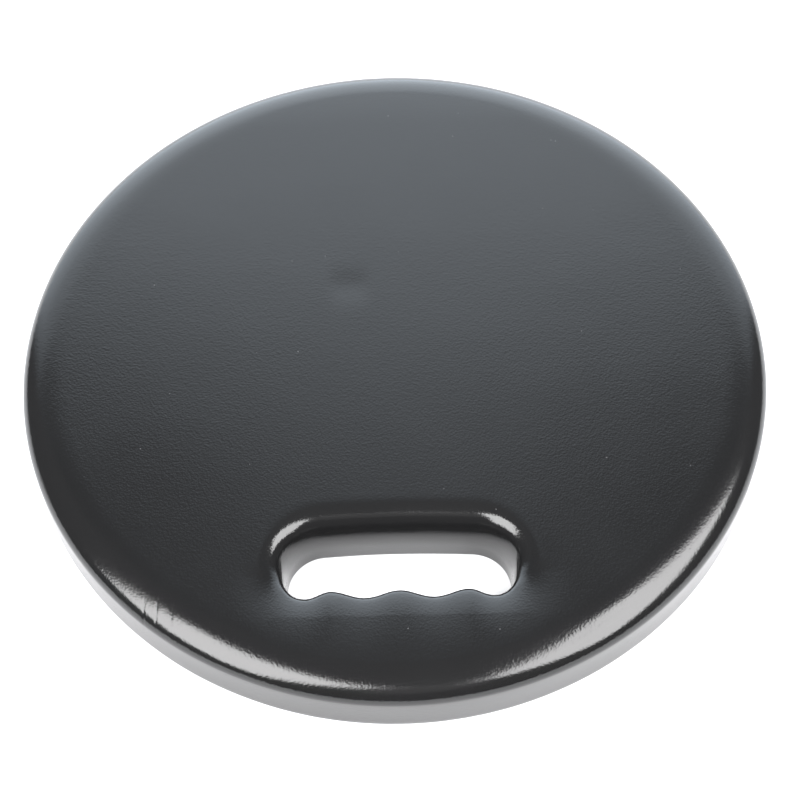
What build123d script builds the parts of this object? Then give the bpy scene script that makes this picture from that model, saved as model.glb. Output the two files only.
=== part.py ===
"""Round balance pad with a hand slot: a moulded elastomer skin over a soft foam core, closed by a ribbed base skin."""

import os

from build123d import *

os.makedirs("parts", exist_ok=True)

# ---------------------------------------------------------------- driving dimensions, millimetres
pad_diameter = 350.0
pad_height = 30.0
skin_thickness = 1.2
foot_gap = 0.5  # the walls stop this far above the floor, so the pad stands on its base skin
foot_round = 0.7  # lower outer edge of the side wall

# The top rolls over into the side wall along a curve that starts slowly and tightens.
rim_reach = 18.0  # from the side wall to where the top starts to fall
rim_drop = 10.5  # from the top down to where the side wall is upright
roll_fullness = 0.57  # handle length of that curve, as a share of its reach and drop

# The hand slot runs along X, near the rim on the -Y side.
slot_length = 101.5
slot_far_y = -93.2  # the straight long edge nearer the pad's centre
slot_far_corner = 18.0
slot_near_corner = 9.0
slot_groove_y = -127.3  # bottoms of the four finger grooves
finger_rise = 3.4  # the three crests between the grooves stand this far into the slot
finger_pitch = 30.2
slot_lip_round = 5.0
slot_lip_round_inside = 3.8  # inner face of the skin

# Underside: a thin sheet set inside the wall, standing on low concentric ribs.
rib_height = 0.8
rib_width = 3.0
rib_pitch = 14.0
rib_count = 11
rim_band_width = 6.0  # plain bands round the rim and round the slot
slot_band_width = 5.0
band_gap = 3.0  # from the slot's band to the ends of the cut ribs
centre_stud_radius = 4.0

# ---------------------------------------------------------------- sizes worked out from them
pad_radius = pad_diameter / 2
half_slot = slot_length / 2
base_top = rib_height + skin_thickness
slot_far_corner_y = slot_far_y - slot_far_corner
slot_near_corner_y = slot_groove_y + slot_near_corner
crest_y = slot_groove_y + finger_rise
cut_past = 1.0  # how far a cutting tool runs past the face that it opens


def finger_half_wave(low, high):
    """Two equal arcs from a groove's bottom to a crest, level at both ends."""
    middle = ((low[0] + high[0]) / 2, (low[1] + high[1]) / 2)
    way = 1 if high[0] > low[0] else -1
    TangentArc([low, middle], tangent=(way, 0))
    TangentArc([high, middle], tangent=(-way, 0))


def slot_outline():
    """The slot's closed outline: a straight far edge, round ends and a near edge with finger grooves."""
    far_end = (half_slot - slot_far_corner, slot_far_y)
    near_end = (half_slot - slot_near_corner, slot_groove_y)
    with BuildLine() as outline:
        Line((-far_end[0], far_end[1]), far_end)
        for side in (-1, 1):
            far_corner = TangentArc(
                [(side * half_slot, slot_far_corner_y), (side * far_end[0], far_end[1])],
                tangent=(0, 1),
            )
            Line(far_corner @ 0, (side * half_slot, slot_near_corner_y))
            TangentArc(
                [(side * half_slot, slot_near_corner_y), (side * near_end[0], near_end[1])],
                tangent=(0, -1),
            )
            outer_crest = (side * finger_pitch, crest_y)
            inner_groove = (side * finger_pitch / 2, slot_groove_y)
            finger_half_wave((side * near_end[0], near_end[1]), outer_crest)
            finger_half_wave(inner_groove, outer_crest)
            finger_half_wave(inner_groove, (0, crest_y))
    return outline.line


def moulded_form(inset, bottom, lip_round):
    """The pad's outer form, taken in by inset all round and cut off level at height bottom."""
    radius = pad_radius - inset
    top = pad_height - inset
    reach = rim_reach - inset
    drop = rim_drop - inset
    with BuildPart() as form:
        with BuildSketch(Plane.XZ):
            with BuildLine():
                Polyline((radius, top - drop), (radius, bottom), (0, bottom), (0, top), (radius - reach, top))
                Bezier(
                    (radius - reach, top),
                    (radius - reach * (1 - roll_fullness), top),
                    (radius, top - drop * (1 - roll_fullness)),
                    (radius, top - drop),
                )
            make_face()
        revolve(axis=Axis.Z)
        with BuildSketch(Plane.XY.offset(bottom - cut_past)):
            make_face(slot_outline())
            offset(amount=inset, kind=Kind.TANGENT)
        extrude(amount=pad_height + 2 * cut_past, mode=Mode.SUBTRACT)
        top_face = form.faces().filter_by(Plane.XY).sort_by(Axis.Z)[-1]
        fillet(top_face.inner_wires()[0].edges(), radius=lip_round)
    return form.part


# ---------------------------------------------------------------- foam core
with BuildPart() as foam_core:
    add(moulded_form(skin_thickness, base_top, slot_lip_round_inside))
foam_core.part.label = "foam_core"

# ---------------------------------------------------------------- top skin: top, rolled rim, side wall and slot wall
with BuildPart() as top_skin:
    add(moulded_form(0, foot_gap, slot_lip_round))
    foot_edge = top_skin.edges().group_by(Axis.Z)[0].sort_by(SortBy.LENGTH)[-1]
    fillet(foot_edge, radius=foot_round)
    add(moulded_form(skin_thickness, -cut_past, slot_lip_round_inside), mode=Mode.SUBTRACT)
top_skin.part.label = "top_skin"

# ---------------------------------------------------------------- base skin: a sheet on concentric ribs
with BuildPart() as base_skin:
    with BuildSketch(Plane.XY.offset(rib_height)):
        Circle(pad_radius - skin_thickness)
    extrude(amount=skin_thickness)
    with BuildSketch(Plane.XY):
        Circle(pad_radius - skin_thickness)
        Circle(pad_radius - skin_thickness - rim_band_width, mode=Mode.SUBTRACT)
        Circle(centre_stud_radius)
        for ring in range(1, rib_count + 1):
            middle = ring * rib_pitch
            with BuildSketch(mode=Mode.PRIVATE) as rib:
                Circle(middle + rib_width / 2)
                Circle(middle - rib_width / 2, mode=Mode.SUBTRACT)
            add(rib.sketch)
        with BuildSketch(mode=Mode.PRIVATE) as clear_of_slot:
            make_face(slot_outline())
            offset(amount=skin_thickness + slot_band_width + band_gap, kind=Kind.TANGENT)
        add(clear_of_slot.sketch, mode=Mode.SUBTRACT)
        with BuildSketch(mode=Mode.PRIVATE) as slot_band:
            make_face(slot_outline())
            offset(amount=skin_thickness + slot_band_width, kind=Kind.TANGENT)
        add(slot_band.sketch)
    extrude(amount=rib_height)
    with BuildSketch(Plane.XY.offset(-cut_past)):
        make_face(slot_outline())
        offset(amount=skin_thickness, kind=Kind.TANGENT)
    extrude(amount=base_top + 2 * cut_past, mode=Mode.SUBTRACT)
base_skin.part.label = "base_skin"

# ---------------------------------------------------------------- files
for piece in (foam_core, top_skin, base_skin):
    name = piece.part.label
    export_step(piece.part, f"parts/{name}.step")
    print(f"{name}: {len(piece.part.solids())} solid, {piece.part.volume / 1000:.1f} cm3")
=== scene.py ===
"""Round balance pad with a hand slot: a glossy moulded skin, a ribbed base skin and the foam between them.

Run as a script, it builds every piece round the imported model, lights it on a plain floor and places the
camera. Lengths are in metres.
"""

import math

import bpy
import numpy as np
from bpy.props import FloatProperty, FloatVectorProperty, IntProperty, PointerProperty
from mathutils import Matrix, Vector
from mathutils.geometry import delaunay_2d_cdt


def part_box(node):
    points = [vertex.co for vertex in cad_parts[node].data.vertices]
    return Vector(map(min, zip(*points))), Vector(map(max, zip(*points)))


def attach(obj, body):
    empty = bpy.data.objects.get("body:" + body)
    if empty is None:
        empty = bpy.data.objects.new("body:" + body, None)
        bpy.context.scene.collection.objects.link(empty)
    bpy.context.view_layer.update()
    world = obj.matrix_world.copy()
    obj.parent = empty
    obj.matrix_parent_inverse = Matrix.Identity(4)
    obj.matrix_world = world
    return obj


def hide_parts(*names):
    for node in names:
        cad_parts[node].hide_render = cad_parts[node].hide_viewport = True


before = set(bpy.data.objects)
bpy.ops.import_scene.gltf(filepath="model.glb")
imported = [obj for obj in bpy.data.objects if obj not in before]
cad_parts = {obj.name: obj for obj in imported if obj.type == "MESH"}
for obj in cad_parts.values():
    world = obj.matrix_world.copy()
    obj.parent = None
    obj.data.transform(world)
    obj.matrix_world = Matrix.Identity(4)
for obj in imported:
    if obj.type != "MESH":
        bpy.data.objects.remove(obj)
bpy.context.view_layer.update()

bl_info = {
    "name": "Balance pad",
    "version": (1, 0, 0),
    "blender": (4, 5, 0),
    "location": "View3D > Sidebar > Balance Pad",
    "description": "Builds a round moulded balance pad with a hand slot, and a plain studio round it",
    "category": "Add Mesh",
}

MM = 0.001
BODY = "root"
PAD_LOW, PAD_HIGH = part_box("top_skin")
BASE_LOW, BASE_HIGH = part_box("base_skin")
PAD_RADIUS = (PAD_HIGH.x - PAD_LOW.x) / 2
PAD_TOP = PAD_HIGH.z
WALL_FOOT = PAD_LOW.z


# ---------------------------------------------------------------- settings


def length(name, default, description, low=0.0, high=1.0):
    """A length property in metres, finely stepped."""
    return FloatProperty(
        name=name, default=default, description=description, min=low, max=high, precision=5, unit="LENGTH"
    )


def amount(name, default, description, low=0.0, high=100.0):
    """A plain number property."""
    return FloatProperty(name=name, default=default, description=description, min=low, max=high, precision=4)


def turn(name, default, description):
    """An angle property, given in degrees."""
    return FloatProperty(name=name, default=math.radians(default), description=description, subtype="ANGLE")


def colour(name, default, description):
    """A colour property."""
    return FloatVectorProperty(
        name=name, default=default, description=description, subtype="COLOR", size=3, min=0.0, max=1.0
    )


class PadShape(bpy.types.PropertyGroup):
    """Sizes of the pad's moulded form."""

    rim_reach: length("Rim reach", 21 * MM, "From the side wall to where the top starts to fall")
    rim_drop: length("Rim drop", 9.5 * MM, "From the top down to where the side wall is upright")
    rim_fullness: amount("Rim fullness", 2.6, "How late and how tightly the rim turns over", 2.0, 8.0)
    lip_reach: length(
        "Lip reach", 17 * MM, "From the slot's far wall and ends to where the top starts to fall"
    )
    lip_drop: length("Lip drop", 20 * MM, "From the top down to where the far wall is upright")
    lip_fullness: amount("Lip fullness", 4.0, "How late and how tightly the far lip turns over", 2.0, 8.0)
    grip_reach: length("Grip reach", 27 * MM, "From the finger grooves to where the top starts to fall")
    grip_drop: length("Grip drop", 3.9 * MM, "From the top down to where the grooves' wall is upright")
    grip_fullness: amount(
        "Grip fullness", 2.0, "How late and how tightly the grooves' lip turns over", 2.0, 8.0
    )
    grip_round: length("Grip edge round", 2.8 * MM, "Rounding of the grooves' very edge, below that lip")
    slot_length: length("Slot length", 100.5 * MM, "Hand slot, end to end")
    slot_far: length("Slot far edge", 93.0 * MM, "From the pad's middle to the slot's nearer long edge")
    slot_bow: length("Slot bow", 1.0 * MM, "How far that edge bows towards the pad's middle")
    slot_groove: length(
        "Groove depth line", 125.9 * MM, "From the pad's middle to the bottoms of the grooves"
    )
    finger_rise: length("Finger rise", 3.4 * MM, "How far the crests stand into the slot")
    finger_pitch: length("Finger pitch", 30.2 * MM, "Crest to crest")
    far_corner: length("Far corner", 18 * MM, "Radius of the slot's corners nearer the pad's middle")
    near_corner: length("Near corner", 9 * MM, "Radius of the slot's corners nearer the rim")
    skin: length("Skin thickness", 1.2 * MM, "Thickness of the moulded skin")
    foot_round: length("Foot round", 0.7 * MM, "Rounding of the walls' lower edges")
    unevenness: length("Unevenness", 0.12 * MM, "How far the soft surface strays from its mould")
    uneven_size: length("Unevenness size", 60 * MM, "How broad those swells are")
    seed: IntProperty(name="Seed", default=7, description="Which swells the surface has", min=0)


class PadTread(bpy.types.PropertyGroup):
    """Sizes of the ribs moulded into the underside."""

    rib_height: length("Rib height", 0.8 * MM, "How far the ribs stand out")
    rib_width: length("Rib width", 3 * MM, "Width across a rib's flat")
    rib_draft: length("Rib draft", 0.5 * MM, "Width of a rib's sloping side")
    rib_pitch: length("Rib pitch", 14 * MM, "From one rib to the next")
    rib_count: IntProperty(name="Rib count", default=11, description="Number of ribs", min=1, max=40)
    rim_band: length("Rim band", 6 * MM, "Plain band round the rim")
    slot_band: length("Slot band", 5 * MM, "Plain band round the slot")
    band_gap: length("Band gap", 3 * MM, "From the slot's band to the ends of the cut ribs")
    stud: length("Middle stud", 4 * MM, "Radius of the stud in the middle")


class PadFinish(bpy.types.PropertyGroup):
    """Colours and gloss of the pad's materials."""

    skin_colour: colour("Skin colour", (0.0062, 0.0062, 0.0064), "Black of the moulded skin")
    skin_gloss: amount("Skin roughness", 0.13, "Roughness of the moulded skin", 0.0, 1.0)
    grain_size: length("Grain size", 0.85 * MM, "Breadth of one grain of the skin")
    grain_height: length("Grain height", 0.046 * MM, "Height of the grain", 0.0, 0.01)
    base_colour: colour("Base colour", (0.012, 0.012, 0.013), "Black of the base skin")
    foam_colour: colour("Foam colour", (0.05, 0.05, 0.054), "Dark grey of the foam")


class PadStage(bpy.types.PropertyGroup):
    """Camera, floor and lights."""

    lens: amount("Lens", 81.0, "Focal length in millimetres", 10.0, 300.0)
    camera_distance: length("Camera distance", 0.870, "From the pad's middle to the camera", 0.1, 10.0)
    camera_height: turn("Camera height", 57.62, "Angle of the camera above the floor")
    camera_pan: turn("Camera pan", 0.149, "How far right of the pad's middle the camera looks")
    camera_tilt: turn("Camera tilt", -0.546, "How far above the pad's middle the camera looks")
    camera_roll: turn("Camera roll", -1.305, "Turn of the camera about its own line of sight")
    box_radiance: amount("Soft box radiance", 13.5, "Brightness of the two soft boxes")
    front_radiance: amount("Front card radiance", 0.3, "Brightness of the dim card between the soft boxes")
    floor_light: amount("Floor light", 9.0, "Strength of the wide light overhead, in watts per square metre")
    room: colour("Room", (0.16, 0.16, 0.165), "Light of the room beyond the studio")
    floor: colour("Floor", (0.63, 0.63, 0.64), "Pale floor")


# ---------------------------------------------------------------- outlines and cross-sections


def arc(middle, radius, start, end, steps):
    """Points along an arc, angles in degrees, last point left out."""
    turns = np.radians(np.linspace(start, end, steps, endpoint=False))
    return np.stack([middle[0] + radius * np.cos(turns), middle[1] + radius * np.sin(turns)], -1)


ARC_STEPS = 40
GROOVES_STEPS = 12 * ARC_STEPS
FAR_STEPS = 3 * ARC_STEPS


def slot_outline(s, spacing):
    """The hand slot's closed outline, anticlockwise, evenly spaced, as an array of points."""
    half = s.slot_length / 2
    far_x = half - s.far_corner
    far_y = -s.slot_far - s.slot_bow
    near_x = half - s.near_corner
    near_y = -s.slot_groove
    x = np.linspace(-near_x, near_x, GROOVES_STEPS, endpoint=False)
    inner = 0.5 + 0.5 * np.cos(2 * math.pi * x / s.finger_pitch)
    outer_run = near_x - s.finger_pitch
    outer = 0.5 + 0.5 * np.cos(math.pi * np.clip((np.abs(x) - s.finger_pitch) / outer_run, 0, 1))
    wave = near_y + s.finger_rise * np.where(np.abs(x) < s.finger_pitch, inner, outer)
    far_run = np.linspace(far_x, -far_x, FAR_STEPS, endpoint=False)
    far = far_y + s.slot_bow * (1 - (far_run / far_x) ** 2)
    points = np.concatenate([
        np.stack([x, wave], -1),
        arc((near_x, near_y + s.near_corner), s.near_corner, -90, 0, ARC_STEPS),
        arc((far_x, far_y - s.far_corner), s.far_corner, 0, 90, ARC_STEPS),
        np.stack([far_run, far], -1),
        arc((-far_x, far_y - s.far_corner), s.far_corner, 90, 180, ARC_STEPS),
        arc((-near_x, near_y + s.near_corner), s.near_corner, 180, 270, ARC_STEPS),
    ])
    closed = np.vstack([points, points[:1]])
    run = np.concatenate([[0], np.cumsum(np.linalg.norm(np.diff(closed, axis=0), axis=1))])
    count = int(round(run[-1] / spacing))
    at = np.linspace(0, run[-1], count, endpoint=False)
    return np.stack([np.interp(at, run, closed[:, 0]), np.interp(at, run, closed[:, 1])], -1)


def outward(loop):
    """Unit normals of a closed anticlockwise outline, pointing out of it, smoothed over a few points."""
    along = sum(np.roll(loop, -k, 0) - np.roll(loop, k, 0) for k in (1, 2, 3))
    across = np.stack([along[:, 1], -along[:, 0]], -1)
    return across / np.linalg.norm(across, axis=1)[:, None]


def nearest_on(loop, points):
    """Distance from each point to a closed outline, and the nearest place on it."""
    step = np.roll(loop, -1, 0) - loop
    size = (step * step).sum(1)
    best = np.full(len(points), np.inf)
    found = np.zeros_like(points)
    for a, d, q in zip(loop, step, size):
        place = a + np.clip(((points - a) @ d) / q, 0, 1)[:, None] * d
        gap = ((points - place) ** 2).sum(1)
        closer = gap < best
        best[closer] = gap[closer]
        found[closer] = place[closer]
    return np.sqrt(best), found


def distance_to(loop, points):
    """Distance from each point to a closed outline."""
    return nearest_on(loop, points)[0]


def inside(loop, points):
    """Which points lie inside a closed outline."""
    found = np.zeros(len(points), bool)
    for a, b in zip(loop, np.roll(loop, -1, 0)):
        if a[1] == b[1]:
            continue
        crosses = (a[1] > points[:, 1]) != (b[1] > points[:, 1])
        at = a[0] + (points[:, 1] - a[1]) / (b[1] - a[1]) * (b[0] - a[0])
        found ^= crosses & (points[:, 0] < at)
    return found


def edge_fall(gap, reach, drop, fullness):
    """How far the top has fallen at a gap from the wall: nothing at the reach, the whole drop at the wall."""
    share = np.clip(1 - gap / reach, 0, 1)
    return drop * (1 - np.sqrt(np.maximum(1 - share**fullness, 0)))


def edge_gaps(reach, fullness, steps, last):
    """Gaps from the wall for the loops round an edge, from none to the last, closest where it turns."""
    flattest = np.arcsin((1 - last / reach) ** (fullness / 2))
    return [
        reach * (1 - np.sin(math.pi / 2 + share * (flattest - math.pi / 2)) ** (2 / fullness))
        for share in np.linspace(0, 1, steps + 1)
    ]


# The least rounding of an edge on an inset form, and the stretch over which one lip becomes the other.
LEAST_ROUND = 0.001 * MM
LIP_BLEND = 17 * MM


def lip_share(s, y):
    """Share of the far lip at places along the slot: none at the finger grooves, and whole above them."""
    grooves_end = s.finger_rise - s.slot_groove
    share = np.clip((y - grooves_end) / LIP_BLEND, 0, 1)
    return share * share * (3 - 2 * share)


def lip_fall(s, gap, share, inset):
    """How far the top has fallen at a gap from the slot: a dip at the grooves, a broad roll elsewhere."""
    edge_round = max(s.grip_round - inset, LEAST_ROUND)
    grip = edge_fall(gap, s.grip_reach - inset, s.grip_drop - inset, s.grip_fullness)
    grip = grip + edge_fall(gap, edge_round, edge_round, 2)
    far = edge_fall(gap, s.lip_reach - inset, s.lip_drop - inset, s.lip_fullness)
    return grip + (far - grip) * share


# Near a crease the steps round the rim shrink: within so many degrees of it, to such a share.
CREASE_ANGLES = (230.2, 231.8, 233.6)
CREASE_STEPS = ((1.0, 0.09), (3.0, 0.3))


def rim_angles(step_degrees):
    """Angles round the rim, closer together where the skin is creased on the left."""
    angles = []
    at = 0.0
    while at < 360:
        angles.append(at)
        near_crease = min(abs(at - crease) for crease in CREASE_ANGLES)
        at += step_degrees * next((share for within, share in CREASE_STEPS if near_crease < within), 1.0)
    return np.radians(angles)


def hex_points(radius, spacing):
    """Points of a hexagonal grid inside a circle."""
    rows = int(radius / spacing) + 2
    grid = []
    for row in range(-rows, rows + 1):
        x = (np.arange(-rows, rows + 1) + (row % 2) / 2) * spacing
        grid.append(np.stack([x, np.full_like(x, row * spacing * math.sqrt(0.75))], -1))
    points = np.concatenate(grid)
    return points[np.hypot(points[:, 0], points[:, 1]) < radius]


MERGE_GAP = 1e-7
NO_POINTS = np.empty((0, 2))


def fill_between(outer, hole, extra):
    """Triangles over the ring between two closed outlines, through the extra points.

    They count their vertices in the order outer, hole, extra.
    """
    points = np.concatenate([outer, hole, extra])
    edges = [(i, (i + 1) % len(outer)) for i in range(len(outer))]
    edges += [(len(outer) + i, len(outer) + (i + 1) % len(hole)) for i in range(len(hole))]
    made = delaunay_2d_cdt([Vector(p) for p in points.tolist()], edges, [], 1, MERGE_GAP)
    if len(made[0]) != len(points):
        raise RuntimeError("the flat of the pad could not be filled")
    source = [came[0] for came in made[3]]
    faces = np.array([[source[i] for i in f] for f in made[2]])
    middles = points[faces].mean(1)
    return faces[inside(outer, middles) & ~inside(hole, middles)]


class Form:
    """Vertices and faces gathered loop by loop."""

    def __init__(self):
        self.points = []
        self.faces = []

    def loop(self, flat, height):
        """Adds a closed loop of vertices at a height or heights, and gives their numbers."""
        first = len(self.points)
        heights = np.broadcast_to(height, len(flat))
        self.points += [(x, y, z) for (x, y), z in zip(flat.tolist(), heights.tolist())]
        return list(range(first, len(self.points)))

    def bridge(self, low, high):
        """Quads between two loops of equal length, looking outwards when low to high is round the outside."""
        count = len(low)
        for i in range(count):
            j = (i + 1) % count
            self.faces.append((low[i], low[j], high[j], high[i]))

    def fill(self, numbers, faces, downwards=False):
        """Adds triangles that count their vertices in a list of numbers, looking up or downwards."""
        for face in faces.tolist():
            self.faces.append(tuple(numbers[i] for i in (reversed(face) if downwards else face)))

    def mesh(self, name):
        """The gathered form as a mesh with smooth faces."""
        made = bpy.data.meshes.new(name)
        made.from_pydata(self.points, [], self.faces)
        made.update()
        made.shade_smooth()
        return made


# Steps of a moulded form, as shares of the spacing of the points on its flat.
SLOT_STEP = 0.3
WALL_STEP = 0.8
FINE_STEP = 0.5
FINE_REACH = 4.5
FLAT_FROM_RIM = 0.6
FINE_FROM_LIP = 0.4
FINE_TO_COARSE = 0.3

# Rows of a wall and of the curl at its foot, and loops over the rim and over the slot's lip.
LEAST_WALL_ROWS = 3
CURL_ROWS = 3
CURL_DEGREES = 70
RIM_LOOPS = 26
RIM_LOOPED_SHARE = 0.8
LIP_LOOPS = 24
LIP_LOOPED = 8.5 * MM


def moulded_form(s, inset, foot, spacing, rim_step, curl):
    """The pad's form, open underneath: top, rolled rim, side wall and slot wall.

    Gives the form and its two lowest loops, on the rim and in the slot.
    """
    form = Form()
    slot = slot_outline(s, spacing * SLOT_STEP)
    away = outward(slot)
    slot = slot + away * inset
    radius = PAD_RADIUS - inset
    top = PAD_TOP - inset
    rim = (s.rim_reach - inset, s.rim_drop - inset, s.rim_fullness)
    share = lip_share(s, slot[:, 1])
    angles = rim_angles(rim_step)
    around = np.stack([np.cos(angles), np.sin(angles)], -1)

    def height(flat):
        from_rim = radius - np.hypot(flat[:, 0], flat[:, 1])
        from_slot, place = nearest_on(slot, flat)
        return top - edge_fall(from_rim, *rim) - lip_fall(s, from_slot, lip_share(s, place[:, 1]), inset)

    def rows(upper, lower):
        """Heights of a wall's rows, from its top down to where its foot starts to curl."""
        count = int(np.max(upper - lower) / (spacing * WALL_STEP))
        return np.linspace(upper, lower, max(LEAST_WALL_ROWS, count))

    rim_wall = rows(top - rim[1], foot + curl)
    slot_wall = rows(top - lip_fall(s, 0.0, share, inset), foot + curl)
    curl_turns = np.radians(np.linspace(0, CURL_DEGREES, CURL_ROWS + 1)[:0:-1]) if curl else []
    curls = [(curl * (1 - math.cos(a)), foot + curl * (1 - math.sin(a))) for a in curl_turns]

    # outside: round the curl, up the wall, then over the rim to the flat
    loops = [form.loop(around * (radius - drawn_in), z) for drawn_in, z in curls]
    loops += [form.loop(around * radius, z) for z in rim_wall[::-1]]
    rim_gaps = edge_gaps(rim[0], rim[2], RIM_LOOPS, rim[0] * RIM_LOOPED_SHARE)
    for gap in rim_gaps[1:-1]:
        flat = around * (radius - gap)
        loops.append(form.loop(flat, height(flat)))
    outer = around * (radius - rim_gaps[-1])
    loops.append(form.loop(outer, height(outer)))
    for low, high in zip(loops, loops[1:]):
        form.bridge(low, high)
    rim_foot, rim_inner = loops[0], loops[-1]

    # slot: round the curl, up its wall, then over the lip to the flat
    loops = [form.loop(slot + away * drawn_in, z) for drawn_in, z in curls]
    loops += [form.loop(slot, z) for z in slot_wall[::-1]]
    reach = s.grip_reach + (s.lip_reach - s.grip_reach) * share - inset
    fullness = s.grip_fullness + (s.lip_fullness - s.grip_fullness) * share
    lip_gaps = edge_gaps(reach, fullness, LIP_LOOPS, LIP_LOOPED)
    for gap in lip_gaps[1:-1]:
        flat = slot + away * gap[:, None]
        loops.append(form.loop(flat, height(flat)))
    hole = slot + away * lip_gaps[-1][:, None]
    loops.append(form.loop(hole, height(hole)))
    for low, high in zip(loops, loops[1:]):
        form.bridge(high, low)
    slot_foot, slot_outer = loops[0], loops[-1]

    # flat: filled with a grid that is finer near the slot
    flat_radius = radius - rim_gaps[-1] - spacing * FLAT_FROM_RIM
    coarse = hex_points(flat_radius, spacing)
    fine = hex_points(flat_radius, spacing * FINE_STEP)
    fine_reach = spacing * FINE_REACH
    coarse = coarse[~inside(hole, coarse)]
    coarse = coarse[distance_to(hole, coarse) > fine_reach]
    fine = fine[~inside(hole, fine)]
    gap = distance_to(hole, fine)
    fine = fine[(gap > spacing * FINE_FROM_LIP) & (gap < fine_reach - spacing * FINE_TO_COARSE)]
    extra = np.concatenate([coarse, fine])
    faces = fill_between(outer, hole, extra)
    form.fill(rim_inner + slot_outer + form.loop(extra, height(extra)), faces)
    return form, rim_foot, slot_foot


def close_underneath(form, rim_foot, slot_foot):
    """Closes a form's open underside with flat faces looking down."""
    points = np.array(form.points)
    faces = fill_between(points[rim_foot][:, :2], points[slot_foot][:, :2], NO_POINTS)
    form.fill(rim_foot + slot_foot, faces, downwards=True)


def put(name, mesh):
    """A new object at the origin with that mesh."""
    made = bpy.data.objects.new(name, mesh)
    bpy.context.scene.collection.objects.link(made)
    return made


# ---------------------------------------------------------------- node trees


class Nodes:
    """Short ways to add and join nodes in one tree."""

    def __init__(self, tree):
        self.tree = tree
        self.count = 0

    def add(self, kind, inputs=None, **settings):
        """Adds a node, sets its settings and fills its inputs with values or with other nodes' outputs."""
        node = self.tree.nodes.new(kind)
        node.location = (220 * (self.count % 12), -260 * (self.count // 12))
        self.count += 1
        for name, value in settings.items():
            setattr(node, name, value)
        for name, value in (inputs or {}).items():
            if isinstance(value, bpy.types.NodeSocket):
                self.tree.links.new(value, node.inputs[name])
            else:
                node.inputs[name].default_value = value
        return node

    def maths(self, kind, *values):
        """A Math node's result."""
        return self.add("ShaderNodeMath", dict(enumerate(values)), operation=kind).outputs[0]

    def vector(self, kind, *values, out=0):
        """A Vector Math node's result."""
        return self.add("ShaderNodeVectorMath", dict(enumerate(values)), operation=kind).outputs[out]

    def mix(self, factor, first, second):
        """A Mix node's result: one plain colour where the factor is 0, the other where it is 1."""
        colours = {"Factor": factor, "A": (*first, 1.0), "B": (*second, 1.0)}
        return self.add("ShaderNodeMix", colours, data_type="RGBA").outputs["Result"]

    def spread(self, value, edges, levels):
        """A Map Range node's result: from the first level to the second as value goes from edge to edge."""
        inputs = {"Value": value, "From Min": edges[0], "From Max": edges[1]}
        inputs.update({"To Min": levels[0], "To Max": levels[1]})
        return self.add("ShaderNodeMapRange", inputs).outputs[0]

    def join(self, node, outputs):
        """Links outputs to a node's named inputs."""
        for name, output in outputs.items():
            self.tree.links.new(output, node.inputs[name])

    def noise(self, place, scale, **others):
        """A noise pattern's result, from 0 to 1, at so many patches to the metre."""
        inputs = {"Vector": place, "Scale": scale, **others}
        return self.add("ShaderNodeTexNoise", inputs).outputs[0]

    def move_and_coat(self, given, offset):
        """The end of a tree: moves the geometry, makes it real, coats it and gives it out."""
        moved = self.add("GeometryNodeSetPosition", {"Geometry": given["Geometry"], "Offset": offset})
        real = self.add("GeometryNodeRealizeInstances", {"Geometry": moved.outputs[0]})
        coat = {"Geometry": real.outputs[0], "Material": given["Material"]}
        coated = self.add("GeometryNodeSetMaterial", coat)
        self.add("NodeGroupOutput", {"Geometry": coated.outputs[0]})


def new_tree(name, inputs, output):
    """A Geometry Nodes tree with its named inputs, the adder of its nodes, and what its inputs give."""
    tree = bpy.data.node_groups.new(name, "GeometryNodeTree")
    for label, kind, default in inputs:
        socket = tree.interface.new_socket(label, in_out="INPUT", socket_type=kind)
        if default is not None:
            socket.default_value = default
    tree.interface.new_socket(output[0], in_out="OUTPUT", socket_type=output[1])
    nodes = Nodes(tree)
    return tree, nodes, nodes.add("NodeGroupInput").outputs


def furrow_tree():
    """How deep one dent or crease sinks the surface at each point: a smooth trough along a line."""
    tree, n, given = new_tree(
        "furrow",
        [
            ("Middle", "NodeSocketVector", None),
            ("Along", "NodeSocketVector", (1.0, 0.0, 0.0)),
            ("Length", "NodeSocketFloat", 0.01),
            ("Width", "NodeSocketFloat", 0.001),
            ("Depth", "NodeSocketFloat", 0.0001),
        ],
        ("Sink", "NodeSocketFloat"),
    )
    place = n.add("GeometryNodeInputPosition").outputs[0]
    gap = n.vector("SUBTRACT", place, given["Middle"])
    along = n.vector("DOT_PRODUCT", gap, given["Along"], out="Value")
    side = n.vector("NORMALIZE", n.vector("CROSS_PRODUCT", given["Along"], (0.0, 0.0, 1.0)))
    across = n.maths("DIVIDE", n.vector("DOT_PRODUCT", gap, side, out="Value"), given["Width"])
    far_along = n.maths("POWER", n.maths("ABSOLUTE", n.maths("DIVIDE", along, given["Length"])), 4.0)
    far_across = n.maths("MULTIPLY", across, across)
    fade = n.maths("EXPONENT", n.maths("MULTIPLY", n.maths("ADD", far_along, far_across), -1.0))
    n.add("NodeGroupOutput", {"Sink": n.maths("MULTIPLY", fade, given["Depth"])})
    return tree


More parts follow.
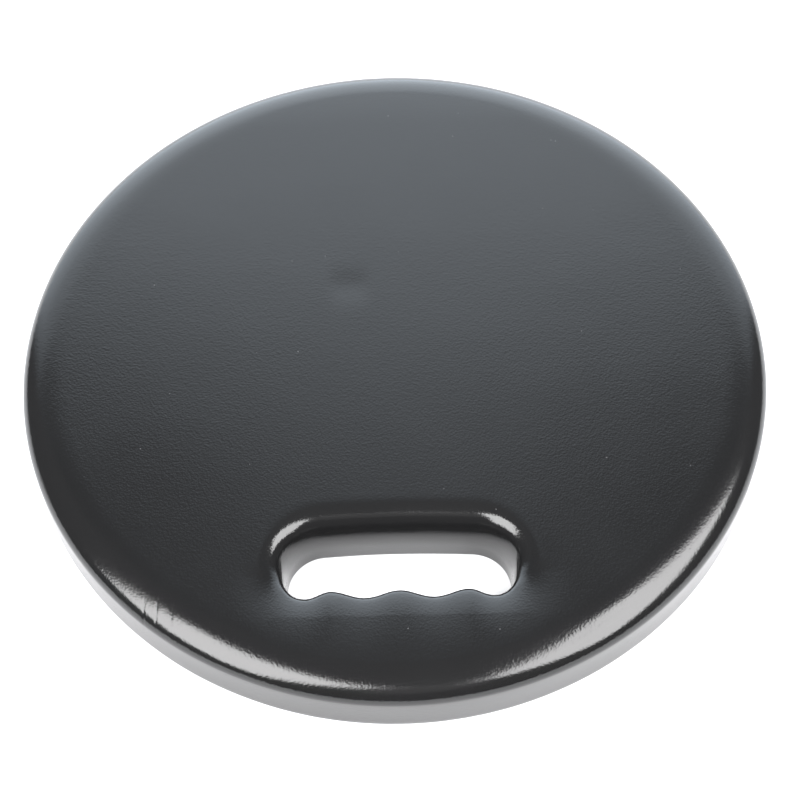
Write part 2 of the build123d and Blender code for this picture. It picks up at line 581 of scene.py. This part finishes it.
def relief_tree(furrows):
    """Moves a surface in and out along its normals: broad uneven swells, and the dents and creases given."""
    tree, n, given = new_tree(
        "skin_relief",
        [
            ("Geometry", "NodeSocketGeometry", None),
            ("Unevenness", "NodeSocketFloat", 0.0001),
            ("Unevenness Size", "NodeSocketFloat", 0.06),
            ("Seed", "NodeSocketInt", 0),
            ("Dent Depth", "NodeSocketFloat", 1.0),
            ("Material", "NodeSocketMaterial", None),
        ],
        ("Geometry", "NodeSocketGeometry"),
    )
    furrow = furrow_tree()
    noise = n.add(
        "ShaderNodeTexNoise",
        {
            "W": given["Seed"],
            "Scale": n.maths("DIVIDE", 1.0, given["Unevenness Size"]),
            "Detail": 1.5,
            "Roughness": 0.45,
        },
        noise_dimensions="4D",
    )
    both_ways = n.maths("SUBTRACT", noise.outputs[0], 0.5)
    swell = n.maths("MULTIPLY", both_ways, n.maths("MULTIPLY", given["Unevenness"], 2.0))
    for middle, along, size, width, depth in furrows:
        sink = n.add(
            "GeometryNodeGroup",
            {"Middle": middle, "Along": along, "Length": size, "Width": width, "Depth": depth},
            node_tree=furrow,
        )
        swell = n.maths("SUBTRACT", swell, n.maths("MULTIPLY", sink.outputs[0], given["Dent Depth"]))
    normal = n.add("GeometryNodeInputNormal").outputs[0]
    offset = n.add("ShaderNodeVectorMath", {0: normal, "Scale": swell}, operation="SCALE").outputs[0]
    n.move_and_coat(given, offset)
    return tree


def tread_tree():
    """Pushes rings of ribs down out of a flat sheet, with plain bands round its rim and its slot."""
    tree, n, given = new_tree(
        "tread",
        [
            ("Geometry", "NodeSocketGeometry", None),
            ("Rib Height", "NodeSocketFloat", 0.0008),
            ("Rib Width", "NodeSocketFloat", 0.003),
            ("Draft", "NodeSocketFloat", 0.0005),
            ("Pitch", "NodeSocketFloat", 0.014),
            ("Count", "NodeSocketInt", 11),
            ("Outer Radius", "NodeSocketFloat", 0.17),
            ("Rim Band", "NodeSocketFloat", 0.006),
            ("Slot Band", "NodeSocketFloat", 0.005),
            ("Band Gap", "NodeSocketFloat", 0.003),
            ("Stud", "NodeSocketFloat", 0.004),
            ("Material", "NodeSocketMaterial", None),
        ],
        ("Geometry", "NodeSocketGeometry"),
    )

    def ramp(value, zero_at, one_at):
        """0 to 1 as value goes from one place to another, smoothly."""
        spread = n.add(
            "ShaderNodeMapRange",
            {"Value": value, "From Min": zero_at, "From Max": one_at},
            interpolation_type="SMOOTHSTEP",
        )
        return spread.outputs[0]

    place = n.add("GeometryNodeInputPosition").outputs[0]
    flat = n.vector("MULTIPLY", place, (1.0, 1.0, 0.0))
    out = n.vector("LENGTH", flat, out="Value")
    from_slot = n.add("GeometryNodeInputNamedAttribute", {"Name": "slot_gap"}, data_type="FLOAT").outputs[0]
    tread = n.add("GeometryNodeInputNamedAttribute", {"Name": "tread"}, data_type="FLOAT").outputs[0]
    half = n.maths("DIVIDE", given["Rib Width"], 2.0)
    draft = given["Draft"]
    ring = n.maths("ROUND", n.maths("DIVIDE", out, given["Pitch"]))
    off_middle = n.maths("ABSOLUTE", n.maths("SUBTRACT", out, n.maths("MULTIPLY", ring, given["Pitch"])))
    rib = ramp(off_middle, n.maths("ADD", half, draft), half)
    past_middle = n.maths("GREATER_THAN", ring, 0.5)
    within_count = n.maths("LESS_THAN", ring, n.maths("ADD", given["Count"], 0.5))
    counted = n.maths("MULTIPLY", past_middle, within_count)
    clear = n.maths("ADD", given["Slot Band"], given["Band Gap"])
    off_slot = ramp(from_slot, clear, n.maths("ADD", clear, draft))
    rib = n.maths("MULTIPLY", n.maths("MULTIPLY", rib, counted), off_slot)
    band_in = n.maths("SUBTRACT", given["Outer Radius"], given["Rim Band"])
    band = ramp(out, n.maths("SUBTRACT", band_in, draft), band_in)
    around_slot = ramp(from_slot, n.maths("ADD", given["Slot Band"], draft), given["Slot Band"])
    stud = ramp(out, n.maths("ADD", given["Stud"], draft), given["Stud"])
    raised = n.maths("MAXIMUM", n.maths("MAXIMUM", rib, band), n.maths("MAXIMUM", around_slot, stud))
    lowered = n.maths("MULTIPLY", given["Rib Height"], -1.0)
    down = n.maths("MULTIPLY", n.maths("MULTIPLY", raised, tread), lowered)
    n.move_and_coat(given, n.add("ShaderNodeCombineXYZ", {"Z": down}).outputs[0])
    return tree


def shaped(name, source, tree, values):
    """A plain object made by running a Geometry Nodes tree over a mesh."""
    carrier = put(name + "_carrier", source)
    modifier = carrier.modifiers.new("shape", "NODES")
    modifier.node_group = tree
    sockets = {item.name: item.identifier for item in tree.interface.items_tree if item.in_out == "INPUT"}
    for label, value in values.items():
        modifier[sockets[label]] = value
    bpy.context.view_layer.update()
    whole = carrier.evaluated_get(bpy.context.evaluated_depsgraph_get())
    mesh = bpy.data.meshes.new_from_object(whole)
    mesh.name = name
    bpy.data.objects.remove(carrier)
    bpy.data.meshes.remove(source)
    return put(name, mesh)


# ---------------------------------------------------------------- materials


def new_material(name):
    """A material with its shader, and short ways to add nodes to it."""
    made = bpy.data.materials.new(name)
    made.use_nodes = True
    return made, Nodes(made.node_tree), made.node_tree.nodes["Principled BSDF"]


# Scales are in patches or specks to the metre. Edges are where a pattern's change begins and where it ends.
SKIN_IOR = 1.5
GRAIN_SMOOTHNESS = 0.6
GRAIN_SHARE = 0.6
CLOUD_SCALE = 28.0
CLOUD_EDGES = (0.3, 0.7)
CLOUD_GLOSS = (0.85, 1.2)
SPECK_SCALE = 85.0
DUST_EDGES = (0.018, 0.03)
DUST_GREY = (0.05, 0.05, 0.05)


def skin_material(f):
    """Glossy black skin with a fine grain, a little cloudy in its gloss, with a few specks of dust."""
    made, n, shader = new_material("glossy_moulded_skin")
    place = n.add("ShaderNodeTexCoord").outputs["Object"]
    grain = n.add(
        "ShaderNodeTexVoronoi",
        {"Vector": place, "Scale": 1 / f.grain_size, "Smoothness": GRAIN_SMOOTHNESS},
        feature="SMOOTH_F1",
    ).outputs["Distance"]
    fine = n.noise(place, 0.7 / f.grain_size, Detail=3.0, Roughness=0.6)
    height = n.maths("ADD", n.maths("MULTIPLY", grain, GRAIN_SHARE), fine)
    bump = n.add("ShaderNodeBump", {"Height": height, "Strength": 1.0, "Distance": f.grain_height})
    cloud = n.noise(place, CLOUD_SCALE, Detail=2.0)
    rough = n.spread(cloud, CLOUD_EDGES, [f.skin_gloss * share for share in CLOUD_GLOSS])
    specks = n.add("ShaderNodeTexVoronoi", {"Vector": place, "Scale": SPECK_SCALE}).outputs["Distance"]
    dust = n.spread(specks, DUST_EDGES, (1.0, 0.0))
    black = n.mix(dust, f.skin_colour, DUST_GREY)
    n.join(shader, {"Base Color": black, "Roughness": rough, "Normal": bump.outputs[0]})
    shader.inputs["IOR"].default_value = SKIN_IOR
    return made


BASE_GRAIN_SCALE = 900.0
BASE_GRAIN_HEIGHT = 0.04 * MM
BASE_CLOUD_SCALE = 22.0
BASE_ROUGHNESS = (0.38, 0.6)
BASE_PALER = 2.2


def base_material(f):
    """Satin black skin of the underside, a little dusty and scuffed."""
    made, n, shader = new_material("satin_base_skin")
    place = n.add("ShaderNodeTexCoord").outputs["Object"]
    grain = n.noise(place, BASE_GRAIN_SCALE, Detail=4.0, Roughness=0.65)
    bump = n.add("ShaderNodeBump", {"Height": grain, "Strength": 1.0, "Distance": BASE_GRAIN_HEIGHT})
    cloud = n.noise(place, BASE_CLOUD_SCALE, Detail=4.0)
    rough = n.spread(cloud, (0.0, 1.0), BASE_ROUGHNESS)
    black = n.mix(cloud, f.base_colour, [min(1.0, c * BASE_PALER) for c in f.base_colour])
    n.join(shader, {"Base Color": black, "Roughness": rough, "Normal": bump.outputs[0]})
    return made


FOAM_CELL_SCALE = 1100.0
FOAM_CELL_DEPTH = 0.3 * MM
# Painted shade: the share of the foam colour left at the bottom of each pit.
FOAM_PIT_PAINTED_SHADE = 0.35
FOAM_ROUGHNESS = 0.95
FOAM_SPECULAR = 0.2


def foam_material(f):
    """Dark open-cell foam: matt, pitted with small cells, with painted shade darkening the bottom of each
    pit.
    """
    made, n, shader = new_material("open_cell_foam")
    place = n.add("ShaderNodeTexCoord").outputs["Object"]
    cells = n.add("ShaderNodeTexVoronoi", {"Vector": place, "Scale": FOAM_CELL_SCALE}).outputs["Distance"]
    bump = n.add("ShaderNodeBump", {"Height": cells, "Strength": 1.0, "Distance": FOAM_CELL_DEPTH})
    # Painted shade: the colour darkens towards each cell's middle, where the pit is deepest.
    grey = n.mix(cells, [c * FOAM_PIT_PAINTED_SHADE for c in f.foam_colour], f.foam_colour)
    n.join(shader, {"Base Color": grey, "Normal": bump.outputs[0]})
    shader.inputs["Roughness"].default_value = FOAM_ROUGHNESS
    shader.inputs["Specular IOR Level"].default_value = FOAM_SPECULAR
    return made


FLOOR_ROUGHNESS = 0.6
FLOOR_SPECULAR = 0.1


def floor_material(floor_colour):
    """One even pale colour."""
    made, _, shader = new_material("pale_floor")
    shader.inputs["Base Color"].default_value = (*floor_colour, 1.0)
    shader.inputs["Roughness"].default_value = FLOOR_ROUGHNESS
    shader.inputs["Specular IOR Level"].default_value = FLOOR_SPECULAR
    return made


# ---------------------------------------------------------------- pieces


# In millimetres: where the dent in the top and the crease on the right rim lie, which way each runs, and its
# length, width and depth. The three creases on the left rim run alike, and differ in their place and depth.
TOP_DENT = ((-21.0, 37.0, 30.0), (1.0, 0.0, 0.0), 9.0, 8.0, 0.22)
RIGHT_CREASE = ((92.0, -138.0, 28.4), (0.83, 0.55, 0.0), 24.0, 1.3, 0.09)
LEFT_CREASES = ((-111.0, -131.5, 0.10), (-105.2, -131.5, 0.13), (-98.6, -134.5, 0.15))
LEFT_HEIGHT = 27.5
LEFT_ALONG = (0.05, 0.93, 0.36)
LEFT_LENGTH = 5.5
LEFT_WIDTH = 0.45


def skin_furrows():
    """Dents and creases in the skin: where each lies, which way it runs, its length, width and depth."""
    left = [((x, y, LEFT_HEIGHT), LEFT_ALONG, LEFT_LENGTH, LEFT_WIDTH, depth) for x, y, depth in LEFT_CREASES]
    for middle, along, size, width, depth in (TOP_DENT, *left, RIGHT_CREASE):
        place = [c * MM for c in middle]
        yield place, list(Vector(along).normalized()), size * MM, width * MM, depth * MM


# Spacing of the points on each piece's flat, slot or ribs, and the steps round their rims in degrees.
SKIN_SPACING = 2.4 * MM
SKIN_RIM_STEP = 0.8
FOAM_SPACING = 4.0 * MM
FOAM_RIM_STEP = 1.6
BASE_SLOT_SPACING = 1.4 * MM
BASE_RIM_STEP = 1.25
RIB_SPACING = 3.0 * MM

# Clear gaps from the moulded skin to the base skin and to the foam, and the turn that keeps an edge sharp.
BASE_GAP = 0.02 * MM
FOAM_GAP = 0.25 * MM
SHARP_TURN = math.radians(50)


class PAD_OT_moulded_skin(bpy.types.Operator):
    """Makes the moulded skin: top, rolled rim, side wall and slot wall in one"""

    bl_idname = "pad.moulded_skin"
    bl_label = "Moulded skin"

    def execute(self, context):
        s = context.scene.pad_shape
        form, _, _ = moulded_form(s, 0.0, WALL_FOOT, SKIN_SPACING, SKIN_RIM_STEP, s.foot_round)
        tree = relief_tree(list(skin_furrows()))
        values = {
            "Unevenness": s.unevenness,
            "Unevenness Size": s.uneven_size,
            "Seed": s.seed,
            "Dent Depth": 1.0,
            "Material": skin_material(context.scene.pad_finish),
        }
        skin = shaped("moulded_skin", form.mesh("skin_form"), tree, values)
        wall = skin.modifiers.new("thickness", "SOLIDIFY")
        wall.thickness = s.skin
        wall.offset = -1.0
        wall.use_even_offset = False
        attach(skin, BODY)
        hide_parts("top_skin")
        return {"FINISHED"}


# A rib's points stop this many of its sloping sides short of where the ribs end at the slot. A point on the
# very edge of the rim's band still counts.
DRAFT_ROOM = 1.6
BAND_SLACK = 0.001 * MM


def base_rings(t, radius, around):
    """Points on rings along the edges of the stud, the ribs and the rim's band, about evenly spaced."""
    half, draft = t.rib_width / 2, t.rib_draft
    radii = [t.stud, t.stud + draft / 2, t.stud + draft]
    for number in range(1, t.rib_count + 1):
        for off in (-half - draft, -half - draft / 2, -half, half, half + draft / 2, half + draft):
            radii.append(number * t.rib_pitch + off)
    radii += [radius - t.rim_band + off for off in (-draft, -draft / 2, 0.0)]
    rings = []
    for ring_radius in radii:
        ring = around * ring_radius
        step = np.hypot(*(ring[1] - ring[0]))
        rings.append(ring[:: max(1, int(RIB_SPACING / step))])
    return np.concatenate(rings)


class PAD_OT_base_skin(bpy.types.Operator):
    """Makes the base skin: a sheet with rings of low ribs, and a band round the slot"""

    bl_idname = "pad.base_skin"
    bl_label = "Ribbed base skin"

    def execute(self, context):
        s = context.scene.pad_shape
        t = context.scene.pad_tread
        inset = s.skin + BASE_GAP
        radius = PAD_RADIUS - inset
        slot = slot_outline(s, BASE_SLOT_SPACING)
        away = outward(slot)
        slot = slot + away * inset
        angles = np.radians(np.arange(0, 360, BASE_RIM_STEP))
        around = np.stack([np.cos(angles), np.sin(angles)], -1)
        rim = around * radius

        draft = t.rib_draft
        clear = t.slot_band + t.band_gap
        middle = base_rings(t, radius, around)
        middle = middle[~inside(slot, middle)]
        middle = middle[distance_to(slot, middle) > clear + draft * DRAFT_ROOM]
        slopes = (0.0, draft / 2, draft)
        bands = [slot + away * (edge + off) for edge in (t.slot_band, clear) for off in slopes]
        extra = np.concatenate([middle] + bands)
        extra = extra[np.hypot(extra[:, 0], extra[:, 1]) < radius - t.rim_band + BAND_SLACK]

        form = Form()
        level = t.rib_height
        under = fill_between(rim, slot, extra)
        low_rim = form.loop(rim, level)
        low_slot = form.loop(slot, level)
        form.fill(low_rim + low_slot + form.loop(extra, level), under, downwards=True)
        count = len(form.points)
        high = BASE_HIGH.z - BASE_GAP
        over = fill_between(rim, slot, NO_POINTS)
        high_rim = form.loop(rim, high)
        high_slot = form.loop(slot, high)
        form.fill(high_rim + high_slot, over)
        form.bridge(low_rim, high_rim)
        form.bridge(high_slot, low_slot)

        mesh = form.mesh("base_form")
        flat = np.array(form.points)[:, :2]
        gaps = mesh.attributes.new("slot_gap", "FLOAT", "POINT")
        gaps.data.foreach_set("value", distance_to(slot, flat).astype(np.float32))
        tread = mesh.attributes.new("tread", "FLOAT", "POINT")
        tread.data.foreach_set("value", (np.arange(len(flat)) < count).astype(np.float32))
        values = {
            "Rib Height": t.rib_height,
            "Rib Width": t.rib_width,
            "Draft": t.rib_draft,
            "Pitch": t.rib_pitch,
            "Count": t.rib_count,
            "Outer Radius": radius,
            "Rim Band": t.rim_band,
            "Slot Band": t.slot_band,
            "Band Gap": t.band_gap,
            "Stud": t.stud,
            "Material": base_material(context.scene.pad_finish),
        }
        base = shaped("ribbed_base", mesh, tread_tree(), values)
        base.data.set_sharp_from_angle(angle=SHARP_TURN)
        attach(base, BODY)
        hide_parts("base_skin")
        return {"FINISHED"}


class PAD_OT_foam(bpy.types.Operator):
    """Makes the foam inside the skins"""

    bl_idname = "pad.foam"
    bl_label = "Foam"

    def execute(self, context):
        s = context.scene.pad_shape
        inset = s.skin + FOAM_GAP
        form, rim_foot, slot_foot = moulded_form(s, inset, BASE_HIGH.z, FOAM_SPACING, FOAM_RIM_STEP, 0.0)
        close_underneath(form, rim_foot, slot_foot)
        foam = put("foam_body", form.mesh("foam_body"))
        foam.data.materials.append(foam_material(context.scene.pad_finish))
        foam.data.set_sharp_from_angle(angle=SHARP_TURN)
        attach(foam, BODY)
        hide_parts("foam_core")
        return {"FINISHED"}


# ---------------------------------------------------------------- stage


def aim(obj, place, target, roll=0.0):
    """Puts an object at a place, with its own -Z towards the target and its Y upwards, then rolls it."""
    look = (Vector(target) - Vector(place)).to_track_quat("-Z", "Y").to_matrix().to_4x4()
    obj.matrix_world = Matrix.Translation(place) @ look @ Matrix.Rotation(roll, 4, "Z")


def direction(round_degrees, up_degrees):
    """A unit vector: round is measured from -Y towards +X, up is above the floor."""
    a, b = math.radians(round_degrees), math.radians(up_degrees)
    return Vector((math.cos(b) * math.sin(a), -math.cos(b) * math.cos(a), math.sin(b)))


def area_light(name, place, target, size, radiance, roll=0.0, glossy=True):
    """A soft rectangular light of a given radiance, which may be kept out of reflections."""
    lamp = bpy.data.lights.new(name, "AREA")
    lamp.shape = "RECTANGLE"
    lamp.size, lamp.size_y = size
    lamp.energy = radiance * math.pi * size[0] * size[1]
    made = bpy.data.objects.new(name, lamp)
    bpy.context.scene.collection.objects.link(made)
    aim(made, place, target, roll)
    made.visible_camera = False
    made.visible_glossy = glossy


# The soft boxes and the dim card stand at one distance from a place on the pad near its rim. Each has its way
# round and up in degrees, its width and height, and its roll in degrees.
LIT_PLACE = Vector((0, -0.12, 0))
LIGHT_DISTANCE = 1.3
LEFT_BOX = ((-54.5, 49), (0.93, 1.0), -7.5)
RIGHT_BOX = ((70.5, 52), (1.1, 0.81), 17.5)
RIGHT_SHARE = 0.94
FRONT_CARD = ((6, 50), (0.6, 0.5), 0.0)
OVERHEAD_HEIGHT = 2.2
OVERHEAD_SIZE = (3.0, 3.0)


def stand_light(name, way, size, roll_degrees, radiance):
    """A light on its stand, facing the place near the rim."""
    place = LIT_PLACE + direction(*way) * LIGHT_DISTANCE
    area_light(name, place, LIT_PLACE, size, radiance, roll=math.radians(roll_degrees))


# The floor lies just below the ribs.
FLOOR_GAP = 0.05 * MM
FLOOR_HALF = 4.0

# The backdrop stands behind the pad. Each stop of its glow is a height or a width, and the share of the glow
# there. Above one height the glow narrows.
BACKDROP_Y = 1.7
BACKDROP_HALF = 2.4
BACKDROP_TOP = 4.6
BACKDROP_GLOW = 5.0
BACKDROP_TINT = (0.9, 1.0, 1.1, 1.0)
BACKDROP_NARROWS_FROM = 2.1
BACKDROP_NARROWING = 2.4
BACKDROP_BY_HEIGHT = (
    (0.0, 1.0),
    (1.2, 0.84),
    (1.5, 0.64),
    (1.7, 0.57),
    (1.9, 0.54),
    (2.15, 0.48),
    (2.45, 0.35),
    (2.75, 0.25),
    (3.0, 0.17),
    (3.5, 0.10),
    (4.0, 0.07),
    (4.6, 0.05),
)
BACKDROP_BY_WIDTH = ((0.0, 1.0), (0.6, 0.95), (1.3, 0.66), (1.9, 0.46), (2.4, 0.12))


def backdrop_material():
    """A white paper backdrop, bright low down and in the middle, and fading out and narrowing upwards."""
    made = bpy.data.materials.new("backdrop_glow")
    made.use_nodes = True
    n = Nodes(made.node_tree)
    made.node_tree.nodes.remove(made.node_tree.nodes["Principled BSDF"])
    place = n.add("ShaderNodeTexCoord").outputs["Object"]
    parts = n.add("ShaderNodeSeparateXYZ", {0: place}).outputs

    def fade(value, whole, stops):
        """Grey by how far value has gone along the whole, from the stops' places and levels."""
        ramp = n.add("ShaderNodeValToRGB", {"Fac": n.maths("DIVIDE", value, whole)})
        elements = ramp.color_ramp.elements
        elements.remove(elements[1])
        for number, (at, level) in enumerate(stops):
            stop = elements[0] if number == 0 else elements.new(at / whole)
            stop.position = at / whole
            stop.color = (level, level, level, 1)
        return ramp.outputs[0]

    by_height = fade(parts["Z"], BACKDROP_TOP, BACKDROP_BY_HEIGHT)
    above = n.maths("MAXIMUM", n.maths("SUBTRACT", parts["Z"], BACKDROP_NARROWS_FROM), 0.0)
    narrowed = n.maths("ADD", n.maths("MULTIPLY", above, BACKDROP_NARROWING), 1.0)
    across = n.maths("MULTIPLY", n.maths("ABSOLUTE", parts["X"]), narrowed)
    by_width = fade(across, BACKDROP_HALF, BACKDROP_BY_WIDTH)
    strength = n.maths("MULTIPLY", n.maths("MULTIPLY", by_height, by_width), BACKDROP_GLOW)
    glow = n.add("ShaderNodeEmission", {"Color": BACKDROP_TINT, "Strength": strength})
    n.join(made.node_tree.nodes["Material Output"], {"Surface": glow.outputs[0]})
    return made


class PAD_OT_stage(bpy.types.Operator):
    """Makes the floor, backdrop, lights and camera"""

    bl_idname = "pad.stage"
    bl_label = "Stage"

    def execute(self, context):
        scene = context.scene
        g = scene.pad_stage
        half = FLOOR_HALF
        sheet = bpy.data.meshes.new("floor")
        corners = [(-half, -half), (half, -half), (half, half), (-half, half)]
        sheet.from_pydata([(x, y, -FLOOR_GAP) for x, y in corners], [], [(0, 1, 2, 3)])
        floor = put("floor", sheet)
        sheet.materials.append(floor_material(g.floor))
        wall = bpy.data.meshes.new("backdrop")
        low = [(x, BACKDROP_Y, 0) for x in (-BACKDROP_HALF, BACKDROP_HALF)]
        high = [(x, BACKDROP_Y, BACKDROP_TOP) for x in (BACKDROP_HALF, -BACKDROP_HALF)]
        wall.from_pydata(low + high, [], [(0, 1, 2, 3)])
        backdrop = put("backdrop", wall)
        backdrop.visible_camera = False
        wall.materials.append(backdrop_material())

        stand_light("soft_box_left", *LEFT_BOX, g.box_radiance)
        stand_light("soft_box_right", *RIGHT_BOX, g.box_radiance * RIGHT_SHARE)
        stand_light("front_card", *FRONT_CARD, g.front_radiance)
        overhead = (0, 0, OVERHEAD_HEIGHT)
        radiance = g.floor_light / math.pi
        area_light("wide_overhead", overhead, (0, 0, 0), OVERHEAD_SIZE, radiance, glossy=False)

        world = bpy.data.worlds.new("room")
        world.use_nodes = True
        world.node_tree.nodes["Background"].inputs["Color"].default_value = (*g.room, 1.0)
        scene.world = world

        camera = bpy.data.objects.new("camera", bpy.data.cameras.new("camera"))
        scene.collection.objects.link(camera)
        place = direction(0, math.degrees(g.camera_height)) * g.camera_distance
        aim(camera, place, (0, 0, 0))
        camera.matrix_world = (
            camera.matrix_world
            @ Matrix.Rotation(-g.camera_pan, 4, "Y")
            @ Matrix.Rotation(g.camera_tilt, 4, "X")
            @ Matrix.Rotation(g.camera_roll, 4, "Z")
        )
        camera.data.lens = g.lens
        camera.data.clip_start = 0.01
        scene.camera = camera
        scene.view_settings.view_transform = "Standard"
        return {"FINISHED"}


# ---------------------------------------------------------------- panel and registration


class PAD_PT_panel(bpy.types.Panel):
    """Sizes and finishes of the pad, and the operators that make it"""

    bl_idname = "PAD_PT_panel"
    bl_label = "Balance Pad"
    bl_space_type = "VIEW_3D"
    bl_region_type = "UI"
    bl_category = "Balance Pad"

    def draw(self, context):
        layout = self.layout
        for operator in OPERATORS:
            layout.operator(operator.bl_idname)
        for name in GROUPS:
            group = getattr(context.scene, name)
            box = layout.box()
            for key in group.__annotations__:
                box.prop(group, key)


GROUPS = {"pad_shape": PadShape, "pad_tread": PadTread, "pad_finish": PadFinish, "pad_stage": PadStage}
OPERATORS = (PAD_OT_stage, PAD_OT_moulded_skin, PAD_OT_base_skin, PAD_OT_foam)


def register():
    for made in (*GROUPS.values(), *OPERATORS, PAD_PT_panel):
        bpy.utils.register_class(made)
    for name, group in GROUPS.items():
        setattr(bpy.types.Scene, name, PointerProperty(type=group))


def unregister():
    for name in GROUPS:
        delattr(bpy.types.Scene, name)
    for made in reversed((*GROUPS.values(), *OPERATORS, PAD_PT_panel)):
        bpy.utils.unregister_class(made)


def main():
    register()
    bpy.ops.pad.stage()
    bpy.ops.pad.moulded_skin()
    bpy.ops.pad.base_skin()
    bpy.ops.pad.foam()


if __name__ == "__main__":
    main()
